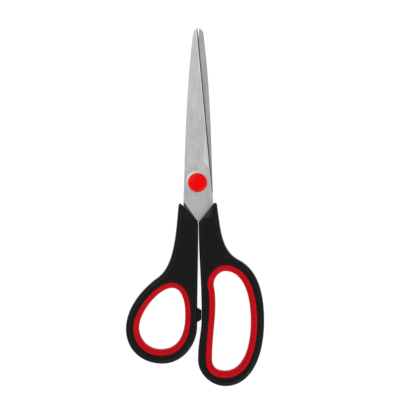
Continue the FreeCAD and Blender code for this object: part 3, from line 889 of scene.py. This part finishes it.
@dataclass
class Bow:
    """One moulded handle with its finger hole, and the sizes that both bows share."""

    side: int
    inset: float
    width: float
    start: float
    length: float
    band: float
    side_rim: float
    end_rim: float
    corner: Pair
    v_drop: float
    ledge: Pair = (0.3, 2.1)
    half: float = 4.8
    gap_left: float = 0.46
    gap_right: float = 0.62
    web: float = 1.5
    cover: float = 1.8
    outer: Section = Section((0.0, 0.03, 0.08, 0.16, 0.3, 0.5, 0.62, 1.3, 1.5, 1.72, 1.86, 2.1, 2.5),
                             (0.0, 1.2, 2.3, 3.0, 3.5, 3.86, 3.96, 4.36, 4.2, 4.62, 4.73, 4.79, 4.8))
    middle: Section = Section((0.0, 0.03, 0.08, 0.17, 0.32, 0.5, 1.05, 1.2, 1.6),
                              (0.0, 1.3, 2.9, 3.6, 4.05, 4.35, 4.7, 4.79, 4.8))
    seat: Section = Section((-0.06, 0.0, 0.08, 0.2, 0.35), (1.5, 4.35, 4.62, 4.76, 4.8))
    finish: MouldedPlastic = field(default_factory=MouldedPlastic)

    @property
    def far(self) -> float:
        """The handle's far side."""
        return self.side * (self.inset + self.width + self.band + self.side_rim)

    @property
    def end(self) -> float:
        """The handle's lower end."""
        return -(self.start + self.length + self.band + self.end_rim)

    def section(self, side: Side) -> Section:
        """The way a wall of the handle rises; the slanted top has a ledge at its foot, round the tang."""
        width, height = self.ledge
        slant = Section((0.0, 0.04, 0.12, width, width + 0.05, width + 0.1, width + 0.2, width + 0.35, width + 0.6),
                        (0.0, height - 0.3, height, height, 3.2, 4.1, 4.45, 4.67, self.half))
        return {Side.OUTER: self.outer, Side.MIDDLE: self.middle, Side.SLANT: slant}[side]

    def eye(self) -> Eye:
        """The finger hole."""
        raise NotImplementedError

    def outline(self) -> Outline:
        """The handle's outline."""
        raise NotImplementedError

    def extras(self) -> Sequence[Tuple[Outline, Section]]:
        """What is moulded on beside the handle: outlines, and the way each rises from its own walls."""
        return ()

    def gates(self) -> Sequence[Tuple[float, float, float]]:
        """Places and radii of the marks that the mould's gates leave."""
        return ()

    def build(self, bench: Bench, name: str) -> bpy.types.Object:
        """Moulds the handle.

        Args:
            bench: Where it is made.
            name: The piece's name.

        Returns:
            The handle.
        """
        outline = self.outline()
        eye = self.eye().outline(0.45)
        opening = Outline([Run(Side.PLAIN, self.closed(eye, self.cover - self.band))])
        relief = Relief()
        relief.row(outline.loop, closed=True)
        relief.row(opening.loop, closed=True)
        for step in self.seat.insets:
            relief.row(self.closed(eye, -self.band - step)[:-1], closed=True)
        extras = self.extras()
        for body, rise in extras:
            relief.row(body.loop, closed=True)
            relief.creases(body, body.runs[0], rise.insets[1:], body.holds)

        def kept(places: np.ndarray) -> np.ndarray:
            return outline.holds(places) & (outline.distance(places) > 0.015)

        for run in outline.runs:
            relief.creases(outline, run, self.section(run.side).insets[1:], kept)
        for corner in (outline.runs[0].points[0], outline.runs[-1].points[0]):
            steps = np.arange(-3.0, 3.01, 0.22)
            patch = np.array([corner + (x, y) for x in steps for y in steps])
            relief.scatter(patch[kept(patch) & (outline.distance(patch) > 0.3)])
        for x, y, radius in self.gates():
            for share in (0.25, 0.5, 0.75, 1.0):
                relief.row(Blade.circle(radius * share, x, y).loop[::2], closed=True)

        def inside(places: np.ndarray) -> np.ndarray:
            solid = outline.holds(places) & ~opening.holds(places)
            for body, _ in extras:
                solid |= body.holds(places)
            return solid

        def top(places: np.ndarray) -> np.ndarray:
            height = np.full(len(places), self.half)
            for run in outline.runs:
                height = np.minimum(height, self.section(run.side).height(run.distance(places)))
            height[~outline.holds(places) & (outline.distance(places) > 1e-3)] = 0.0
            past = eye.signed(places) - self.band
            height = np.minimum(height, self.seat.height(past))
            for x, y, radius in self.gates():
                away = np.hypot(places[:, 0] - x, places[:, 1] - y) / radius
                height -= np.where(away < 1.0, 0.28 * np.sin(away * math.pi), 0.0)
            for body, rise in extras:
                height = np.maximum(height, np.where(body.holds(places), rise.height(body.distance(places)), 0.0))
            return height

        points, faces = relief.build(inside, top, lambda places: -top(places))
        piece = bench.mesh(name, points, faces, 34.0)
        piece.data.materials.append(self.finish.material())
        return piece

    @staticmethod
    def closed(outline: Outline, inset: float) -> np.ndarray:
        """A closed outline moved square to itself, its first point repeated at the end."""
        loop = outline.loop
        along = np.roll(loop, -1, axis=0) - np.roll(loop, 1, axis=0)
        along /= np.linalg.norm(along, axis=1)[:, None]
        inward = np.column_stack([-along[:, 1], along[:, 0]]) * outline.turn
        moved = loop + inward * inset
        return np.vstack([moved, moved[:1]])


@dataclass
class SmallBow(Bow):
    """The thumb's bow, with the stop nub that meets the other bow when the scissors close."""

    side: int = -1
    inset: float = 7.25
    width: float = 27.1
    start: float = 61.75
    length: float = 36.2
    band: float = 3.25
    side_rim: float = 4.5
    end_rim: float = 4.95
    corner: Pair = (11.05, 10.7)
    v_drop: float = 23.8
    nub: Tuple[float, float, float, float] = (72.4, 10.4, 2.5, 2.25)
    nub_root: float = 1.6
    nub_half: float = 3.5
    ledge: Pair = (0.78, 1.1)

    def eye(self) -> Eye:
        """The egg-shaped finger hole."""
        near = -self.inset
        top = Knot(near - self.width * 0.286, -self.start, False)
        far = Knot(near - self.width, -self.start - self.length * 0.649)
        end = Knot(near - self.width * 0.528, -self.start - self.length, False)
        side = Knot(near, -self.start - self.length * 0.431)
        return Eye((top, far, end, side), ((0.393,) * 2, (0.569,) * 2, (0.658,) * 2, (0.64,) * 2))

    def outline(self) -> Outline:
        """From the top corner down the outer side, round the bow and up the middle."""
        corner = Knot(-self.corner[0], -self.corner[1], True, 0.094)
        shoulder = Knot(-(self.inset + self.width * 0.595), 6.15 - self.start, False, 0.716)
        far = Knot(self.far, -(self.start + self.length * 0.663))
        end = Knot(-(self.inset + self.width * 0.49), self.end, False)
        near = Knot(-0.18, -(self.start + self.length * 0.61))
        notch = Knot(self.gap_left, -self.v_drop)
        outer = Run(Side.OUTER, curved(corner, 0.406, shoulder, 0.813), curved(shoulder, 0.434, far, 0.436),
                    curved(far, 0.585, end, 0.585), curved(end, 0.552, near, 0.552))
        middle = Run(Side.MIDDLE, curved(near, 0.333, notch, 0.333))
        made = Outline([outer, middle, Run(Side.SLANT, straight(notch.at, corner.at, 0.35))])
        made.round_corner(2, 3.4)
        made.round_corner(1, 0.7)
        return made

    def extras(self) -> Sequence[Tuple[Outline, Section]]:
        """The stop nub."""
        start, length, taper, face = self.nub
        nub = [(-self.nub_root, -start), (-self.nub_root, -start - length), (face, -start - length + taper),
               (face, -start - taper)]
        return ((self.polygon(nub), Section((0.0, 0.06, 0.25, 0.6), (0.0, 2.6, 3.2, self.nub_half))),)

    @staticmethod
    def polygon(corners: Sequence[Any]) -> Outline:
        """A straight-sided outline."""
        sides = [straight(tuple(a), tuple(b), 0.4) for a, b in zip(corners, list(corners[1:]) + [corners[0]])]
        return Outline([Run(Side.PLAIN, *sides)])


@dataclass
class LargeBow(Bow):
    """The fingers' bow, drawn back at its waist to clear the stop nub."""

    side: int = 1
    inset: float = 8.5
    width: float = 22.8
    start: float = 51.85
    length: float = 58.75
    band: float = 3.6
    side_rim: float = 4.25
    end_rim: float = 5.1
    corner: Pair = (11.3, 11.4)
    v_drop: float = 22.9
    lip: Pair = (9.4, 12.0)
    waist: float = 1.73

    def eye(self) -> Eye:
        """The long finger hole with a soft bulge on its near side."""
        near = self.inset
        top = Knot(near + self.width * 0.333, -self.start, False)
        far = Knot(near + self.width, -self.start - self.length * 0.505)
        end = Knot(near + self.width * 0.343, -self.start - self.length, False)
        low = Knot(near, -self.start - self.length * 0.876)
        high = Knot(near + 1.1, -self.start - self.length * 0.155, True, -0.196)
        return Eye((top, far, end, low, high),
                   ((0.62,) * 2, (0.62,) * 2, (0.69,) * 2, (0.37, 0.3), (0.546, 0.47)))

    def outline(self) -> Outline:
        """From the top corner down the outer side, round the bow and up the middle."""
        corner = Knot(self.corner[0], -self.corner[1], True, -0.147)
        shoulder = Knot(self.inset + self.width * 0.69, 6.65 - self.start, False, -0.523)
        far = Knot(self.far, -(self.start + self.length * 0.491))
        end = Knot(self.inset + self.width * 0.338, self.end, False)
        low = Knot(0.15, -(self.start + self.length * 0.89))
        waist = Knot(self.gap_right + self.waist, -(self.start + self.length * 0.445))
        notch = Knot(self.gap_right, -self.v_drop)
        lip = (self.lip[0], -self.lip[1])
        outer = Run(Side.OUTER, curved(corner, 0.465, shoulder, 0.81), curved(shoulder, 0.742, far, 0.465),
                    curved(far, 0.615, end, 0.615), curved(end, 0.52, low, 0.52))
        middle = Run(Side.MIDDLE, curved(low, 0.4, waist, 0.4), curved(waist, 0.4, notch, 0.4))
        slant = Run(Side.SLANT, straight(notch.at, lip, 0.35), straight(lip, corner.at, 0.35))
        made = Outline([outer, middle, slant])
        made.round_corner(2, 1.6)
        made.round_corner(1, 0.7)
        return made

    def gates(self) -> Sequence[Tuple[float, float, float]]:
        """The gate's mark above the finger hole."""
        return ((16.5, -43.7, 0.75),)


@dataclass
class GripRing:
    """A soft ring swept round a finger hole, with a groove for the handle's web."""

    name: str
    node: str
    eye: Eye
    band: float
    half: float = 4.5
    slope: float = 1.6
    slope_drop: float = 2.2
    groove: float = 0.34
    groove_depth: float = 0.4
    web: float = 1.5
    cover: float = 1.8
    lip: float = 0.28
    steps: int = 260
    finish: SoftRubber = field(default_factory=SoftRubber)

    def sizes(self) -> Dict[str, float]:
        """The section's sizes in millimetres, by the names of the sweep's inputs."""
        return {"Band": self.band, "Half Thickness": self.half, "Slope Width": self.slope,
                "Slope Drop": self.slope_drop, "Groove Width": self.groove, "Groove Depth": self.groove_depth,
                "Web Half": self.web, "Web Cover": self.cover, "Lip": self.lip}

    def tree(self) -> bpy.types.NodeTree:
        """The sweep: a section with named sizes, drawn from them and carried round the hole's curve."""
        group = bpy.data.node_groups.new(f"{self.name}_sweep", "GeometryNodeTree")
        face = group.interface
        face.new_socket("Curve", in_out="INPUT", socket_type="NodeSocketGeometry")
        for name in self.sizes():
            face.new_socket(name, in_out="INPUT", socket_type="NodeSocketFloat")
        face.new_socket("Steps", in_out="INPUT", socket_type="NodeSocketInt")
        face.new_socket("Finish", in_out="INPUT", socket_type="NodeSocketMaterial")
        face.new_socket("Ring", in_out="OUTPUT", socket_type="NodeSocketGeometry")
        wiring = Wiring(group)

        def given(name: str) -> Shade:
            """One of the tree's inputs."""
            return wiring.add("NodeGroupInput", {}, {}, out=name)

        band, half, slope, web = (given(name) for name in ("Band", "Half Thickness", "Slope Width", "Web Half"))
        groove, depth = given("Groove Width"), given("Groove Depth")
        fall, inner = half - given("Slope Drop"), band - given("Web Cover")
        upper = [(band, half), (slope + groove, half), (slope + groove * 0.5, half - depth),
                 (slope, half - depth * 0.45), (0.0, fall)]
        lower = [(across, height * -1.0) for across, height in reversed(upper)]
        corners = upper + lower + [(band, web * -1.0), (inner, web * -1.0), (inner, web), (band, web)]
        switch = wiring.tree.nodes.new("GeometryNodeIndexSwitch")
        switch.data_type = "VECTOR"
        while len(switch.index_switch_items) < len(corners):
            switch.index_switch_items.new()
        for number, (across, height) in enumerate(corners):
            corner = wiring.add("ShaderNodeCombineXYZ", {}, {0: across, 1: height})
            group.links.new(corner.socket, switch.inputs[number + 1])
        group.links.new(wiring.add("GeometryNodeInputIndex", {}, {}).socket, switch.inputs[0])
        blank = wiring.add("GeometryNodeMeshCircle", {}, {"Vertices": len(corners), "Radius": 1.0})
        drawn = wiring.add("GeometryNodeMeshToCurve", {}, {"Mesh": blank})
        shaped = wiring.add("GeometryNodeSetPosition", {},
                            {"Geometry": drawn, "Position": Shade(wiring, switch.outputs[0])})
        section = wiring.add("GeometryNodeFilletCurve", {"mode": "POLY"},
                             {"Curve": shaped, "Count": 4, "Radius": given("Lip"), "Limit Radius": True})
        walk = wiring.add("GeometryNodeResampleCurve", {"mode": "COUNT"},
                          {"Curve": given("Curve"), "Count": given("Steps")})
        level = wiring.add("GeometryNodeSetCurveNormal", {"mode": "Z_UP"}, {"Curve": walk})
        swept = wiring.add("GeometryNodeCurveToMesh", {}, {"Curve": level, "Profile Curve": section})
        solid = wiring.add("GeometryNodeRealizeInstances", {}, {"Geometry": swept})
        dressed = wiring.add("GeometryNodeSetMaterial", {}, {"Geometry": solid, "Material": given("Finish")})
        wiring.add("NodeGroupOutput", {}, {"Ring": dressed})
        return group

    def path(self, bench: Bench) -> bpy.types.Object:
        """The finger hole's line as a closed curve, anticlockwise."""
        knots, pulls = list(self.eye.knots), list(self.eye.pulls)
        data = bpy.data.curves.new(f"{self.name}_line", "CURVE")
        data.dimensions = "3D"
        spline = data.splines.new("BEZIER")
        spline.bezier_points.add(len(knots) - 1)
        spline.use_cyclic_u = True
        spline.resolution_u = 96
        count = len(knots)
        order = list(range(count)) if self.eye.outline().turn > 0 else list(range(count))[::-1]
        for place, number in zip(spline.bezier_points, order):
            knot, after, before = knots[number], knots[(number + 1) % count], knots[number - 1]
            leaving = knot.pulled_to(after, pulls[number][0])
            arriving = knot.pulled_to(before, pulls[number - 1][1])
            if order[0]:
                leaving, arriving = arriving, leaving
            place.handle_left_type = place.handle_right_type = "FREE"
            for name, (x, y) in (("co", knot.at), ("handle_left", arriving), ("handle_right", leaving)):
                setattr(place, name, tuple(bench.place([(x, y, 0.0)])[0]))
        line = bpy.data.objects.new(f"{self.name}_line", data)
        bpy.context.scene.collection.objects.link(line)
        return line

    def build(self, bench: Bench) -> bpy.types.Object:
        """Sweeps the ring and turns it into a plain mesh."""
        line = self.path(bench)
        modifier = line.modifiers.new("sweep", "NODES")
        modifier.node_group = self.tree()
        values: Dict[str, Any] = {name: size * MM for name, size in self.sizes().items()}
        values.update({"Steps": self.steps, "Finish": self.finish.material()})
        for item in modifier.node_group.interface.items_tree:
            if item.in_out == "INPUT" and item.name in values:
                modifier[item.identifier] = values[item.name]
        line.update_tag()
        graph = bpy.context.evaluated_depsgraph_get()
        data = bpy.data.meshes.new_from_object(line.evaluated_get(graph), depsgraph=graph)
        data.name = self.name
        bpy.data.objects.remove(line)
        return bench.dressed(self.name, data, 50.0)


@dataclass
class Pivot:
    """The pivot stack: cap, nut, washers and bolt on one axis."""

    cap: float = 5.6
    cap_foot: float = 2.05
    cap_height: float = 2.4
    cap_wall: float = 1.5
    cap_bevel: float = 0.9
    cap_crown: float = 0.35
    nut_flats: float = 7.0
    cap_depth: float = 1.7

    def cap_profile(self) -> List[Pair]:
        """The cap from the top of its dome down its bevelled rim to its foot and into its socket."""
        foot, top = self.cap_foot, self.cap_foot + self.cap_height
        inner = self.cap - self.cap_bevel
        edge = top - self.cap_crown
        dome = [(inner * r, top - self.cap_crown * r ** 2.4 * 0.86) for r in (0.0, 0.2, 0.4, 0.6, 0.75, 0.88, 0.96)]
        rim = [(inner + 0.04, edge + 0.01), (inner + 0.2, edge - 0.1), (self.cap - 0.22, foot + self.cap_wall + 0.22),
               (self.cap - 0.07, foot + self.cap_wall + 0.05), (self.cap, foot + self.cap_wall - 0.16)]
        skirt = [(self.cap, foot + 0.12), (self.cap - 0.1, foot), (self.nut_flats * 0.6, foot),
                 (self.nut_flats * 0.59, foot + self.cap_depth), (0.0, foot + self.cap_depth)]
        return dome + rim + skirt

    def build(self, bench: Bench, nodes: Dict[str, bpy.types.Object]) -> Dict[str, bpy.types.Object]:
        """Makes the stack.

        Args:
            bench: Where the pieces are made.
            nodes: The CAD nodes by name.

        Returns:
            The pieces by the CAD node that each stands for.
        """
        axis = tuple(bench.pivot)
        made = {"pivot_cap": bench.turned("pivot_cap_domed", self.cap_profile(), 120, 48.0)}
        made["pivot_cap"].data.materials.append(GlossPlastic("cap_plastic_red").material())
        plated = TurnedMetal("bolt_plating", axis, (0.56, 0.56, 0.565), 0.3)
        sprung = TurnedMetal("washer_steel_bright", axis, (0.57, 0.585, 0.6), 0.42, 0.8)
        nylon = TurnedMetal("washer_nylon_white", axis, (0.78, 0.77, 0.73), 0.5, 0.0)
        for node, name, bevel, finish in (("pivot_bolt", "pivot_bolt_slotted", 0.1, plated),
                                          ("pivot_nut", "pivot_nut_hexagon", 0.1, plated),
                                          ("front_washer", "washer_front_steel", 0.09, sprung),
                                          ("rear_washer", "washer_rear_nylon", 0.09, nylon)):
            piece = bench.dressed_copy(nodes[node], name, bevel)
            piece.data.materials.clear()
            piece.data.materials.append(finish.material())
            made[node] = piece
        return made


@dataclass
class Studio:
    """A pale floor, a large soft key light from the upper left, and a camera straight above."""

    centre: Pair = (0.0029, 0.00411)
    view: float = 0.23504
    lens: float = 100.0
    sensor: float = 36.0
    blade_height: float = 0.005
    table_glow: float = 0.94
    zenith: float = 0.22
    horizon: float = 1.15
    bright_side: Tuple[float, float, float] = (0.9, -0.3, 0.0)
    lean: float = 0.15
    skirt: float = 0.35

    def floor(self) -> bpy.types.Object:
        """The floor, which isn't part of the object."""
        data = bpy.data.meshes.new("floor")
        reach = 3.0
        data.from_pydata([(-reach, -reach, 0), (reach, -reach, 0), (reach, reach, 0), (-reach, reach, 0)], [],
                         [(0, 1, 2, 3)])
        plane = bpy.data.objects.new("floor", data)
        bpy.context.scene.collection.objects.link(plane)
        tree = FinishTree("floor_paper")
        fibre = tree.noise(900.0, 2.0, 0.5)
        data.materials.append(tree.finish({
            "Base Color": tree.mixed(fibre, (0.14, 0.14, 0.14, 1.0), (0.16, 0.16, 0.16, 1.0)),
            "Roughness": 0.9, "Specular IOR Level": 0.1,
            "Emission Color": (1.0, 1.0, 1.0, 1.0), "Emission Strength": self.table_glow}))
        return plane

    def light(self, name: str, place: Tuple[float, float, float], size: float, power: float) -> None:
        """A square area light that faces the pivot."""
        lamp = bpy.data.lights.new(name, "AREA")
        lamp.shape = "DISK"
        lamp.size = size
        lamp.energy = power
        holder = bpy.data.objects.new(name, lamp)
        holder.location = place
        holder.rotation_euler = (-Vector(place)).to_track_quat("-Z", "Y").to_euler()
        bpy.context.scene.collection.objects.link(holder)

    def tent(self) -> bpy.types.World:
        """A light tent: dim straight above, brighter towards its sides, and brightest behind on the left."""
        world = bpy.data.worlds.new("tent")
        world.use_nodes = True
        wiring = Wiring(world.node_tree)
        way = wiring.add("ShaderNodeTexCoord", {}, {}, out="Generated")
        height = wiring.add("ShaderNodeSeparateXYZ", {}, {0: way}, out="Z")
        towards = wiring.add("ShaderNodeVectorMath", {"operation": "DOT_PRODUCT"},
                             {0: way, 1: self.bright_side}, out="Value")
        ring = wiring.add("ShaderNodeMapRange", {"interpolation_type": "SMOOTHSTEP"},
                          {"Value": height, "From Min": 0.72, "From Max": 0.98, "To Min": self.horizon,
                           "To Max": self.zenith})
        skirt = wiring.add("ShaderNodeMapRange", {"interpolation_type": "SMOOTHSTEP"},
                           {"Value": height, "From Min": 0.3, "From Max": 0.72, "To Min": self.skirt})
        sky = wiring.add("ShaderNodeBackground", {}, {"Color": (1.0, 1.0, 1.0, 1.0),
                                                      "Strength": ring * skirt * (1.0 + towards * self.lean)})
        wiring.add("ShaderNodeOutputWorld", {}, {"Surface": sky})
        return world

    def build(self) -> None:
        """Sets the floor, the lights and the camera."""
        scene = bpy.context.scene
        self.floor()
        scene.world = self.tent()
        self.light("key", (-0.5, 0.6, 1.2), 0.9, 5.0)
        self.light("fill", (0.35, -1.15, 1.0), 1.0, 3.0)
        self.light("glint", (0.85, -0.85, 0.62), 0.3, 2.0)
        lens = bpy.data.cameras.new("camera")
        lens.lens = self.lens
        lens.sensor_width = self.sensor
        camera = bpy.data.objects.new("camera", lens)
        away = self.view * self.lens / self.sensor
        camera.location = (self.centre[0], self.centre[1], away + self.blade_height)
        lens.clip_end = 50.0
        scene.collection.objects.link(camera)
        scene.camera = camera
        scene.view_settings.view_transform = "Standard"


def main() -> None:
    """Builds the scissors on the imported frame, one sub-assembly after another."""
    logging.basicConfig(level=logging.INFO, format="%(name)s: %(message)s")
    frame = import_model()
    bench = Bench(frame["joints"][0]["pos_m"])
    nodes = frame["nodes"]
    small, large = SmallBow(), LargeBow()
    # painted shade on the rear blade's tang from 7.5 mm below the pivot, for the shadow in the notch beside the small
    # handle
    rear_steel = GroundSteel("ground_steel_rear", (0.45, 0.445, 0.438), painted_shade_below=frame["joints"][0]["pos_m"][1] - 7.5 * MM,
                             painted_shade_fade=4.0 * MM)
    blades = [Blade("blade_front_ground", "front_blade", -1), Blade("blade_rear_ground", "rear_blade", 1,
                                                                     finish=rear_steel)]
    grips = [GripRing("grip_large_soft", "large_bow_grip", large.eye(), large.band),
             GripRing("grip_small_soft", "small_bow_grip", small.eye(), small.band,
                      finish=SoftRubber("soft_rubber_small"))]
    made: Dict[str, bpy.types.Object] = {}
    for blade in blades:
        made[blade.node] = blade.build(bench)
    made["large_bow_handle"] = large.build(bench, "handle_large_moulded")
    made["small_bow_handle"] = small.build(bench, "handle_small_moulded")
    for grip in grips:
        made[grip.node] = grip.build(bench)
    made.update(Pivot().build(bench, nodes))
    for node, piece in made.items():
        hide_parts(node)
        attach(piece, nodes[node]["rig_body"])
        LOG.info("%s: %d faces for %s", piece.name, len(piece.data.polygons), node)
    Studio().build()


if __name__ == "__main__":
    main()
